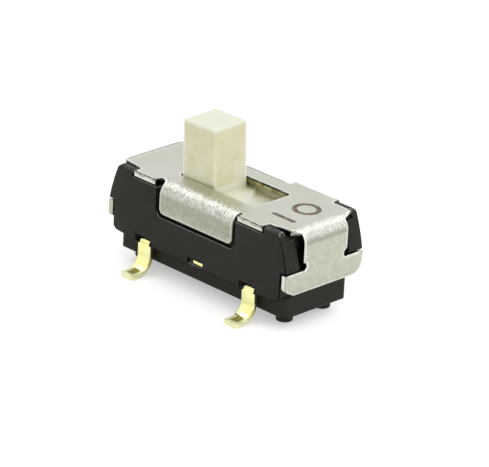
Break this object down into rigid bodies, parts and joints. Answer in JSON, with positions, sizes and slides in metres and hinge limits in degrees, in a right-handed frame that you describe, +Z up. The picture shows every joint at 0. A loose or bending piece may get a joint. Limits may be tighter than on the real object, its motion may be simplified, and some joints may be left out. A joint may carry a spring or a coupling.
{
  "type": "slide switch",
  "caption": "Surface-mount slide switch with a folded steel cover, a moulded base, an upright square knob and flat soldering terminals along its sides.",
  "frame": {"origin": "on the board's surface, under the middle of the switch", "axes": "+X along the slide towards the knob's far position, +Y from the side with the outer terminals to the side with the common terminal, +Z up away from the board"},
  "size_m": [0.0086, 0.005, 0.0056],
  "materials": {
    "moulding": "black heat-resistant moulding, matte, with slightly lighter worn edges",
    "sheet": "pale satin stainless sheet, a little grainy on its bends, with brighter cut edges",
    "knob": "ivory moulding, satin",
    "plated_strip": "bright gold plating, smooth",
    "contact_spring": "bright, rolled"
  },
  "bodies": {
    "housing": {"base": "moulding", "cover": "sheet", "left_terminal": "plated_strip", "right_terminal": "plated_strip", "common_terminal": "plated_strip"},
    "slide": {"slider": "knob", "moving_contact": "contact_spring"}
  },
  "joints": [
    {"name": "knob_slide", "type": "slide", "parent": "housing", "child": "slide", "axis": [1, 0, 0], "range_m": [0, 0.00195]}
  ]
}
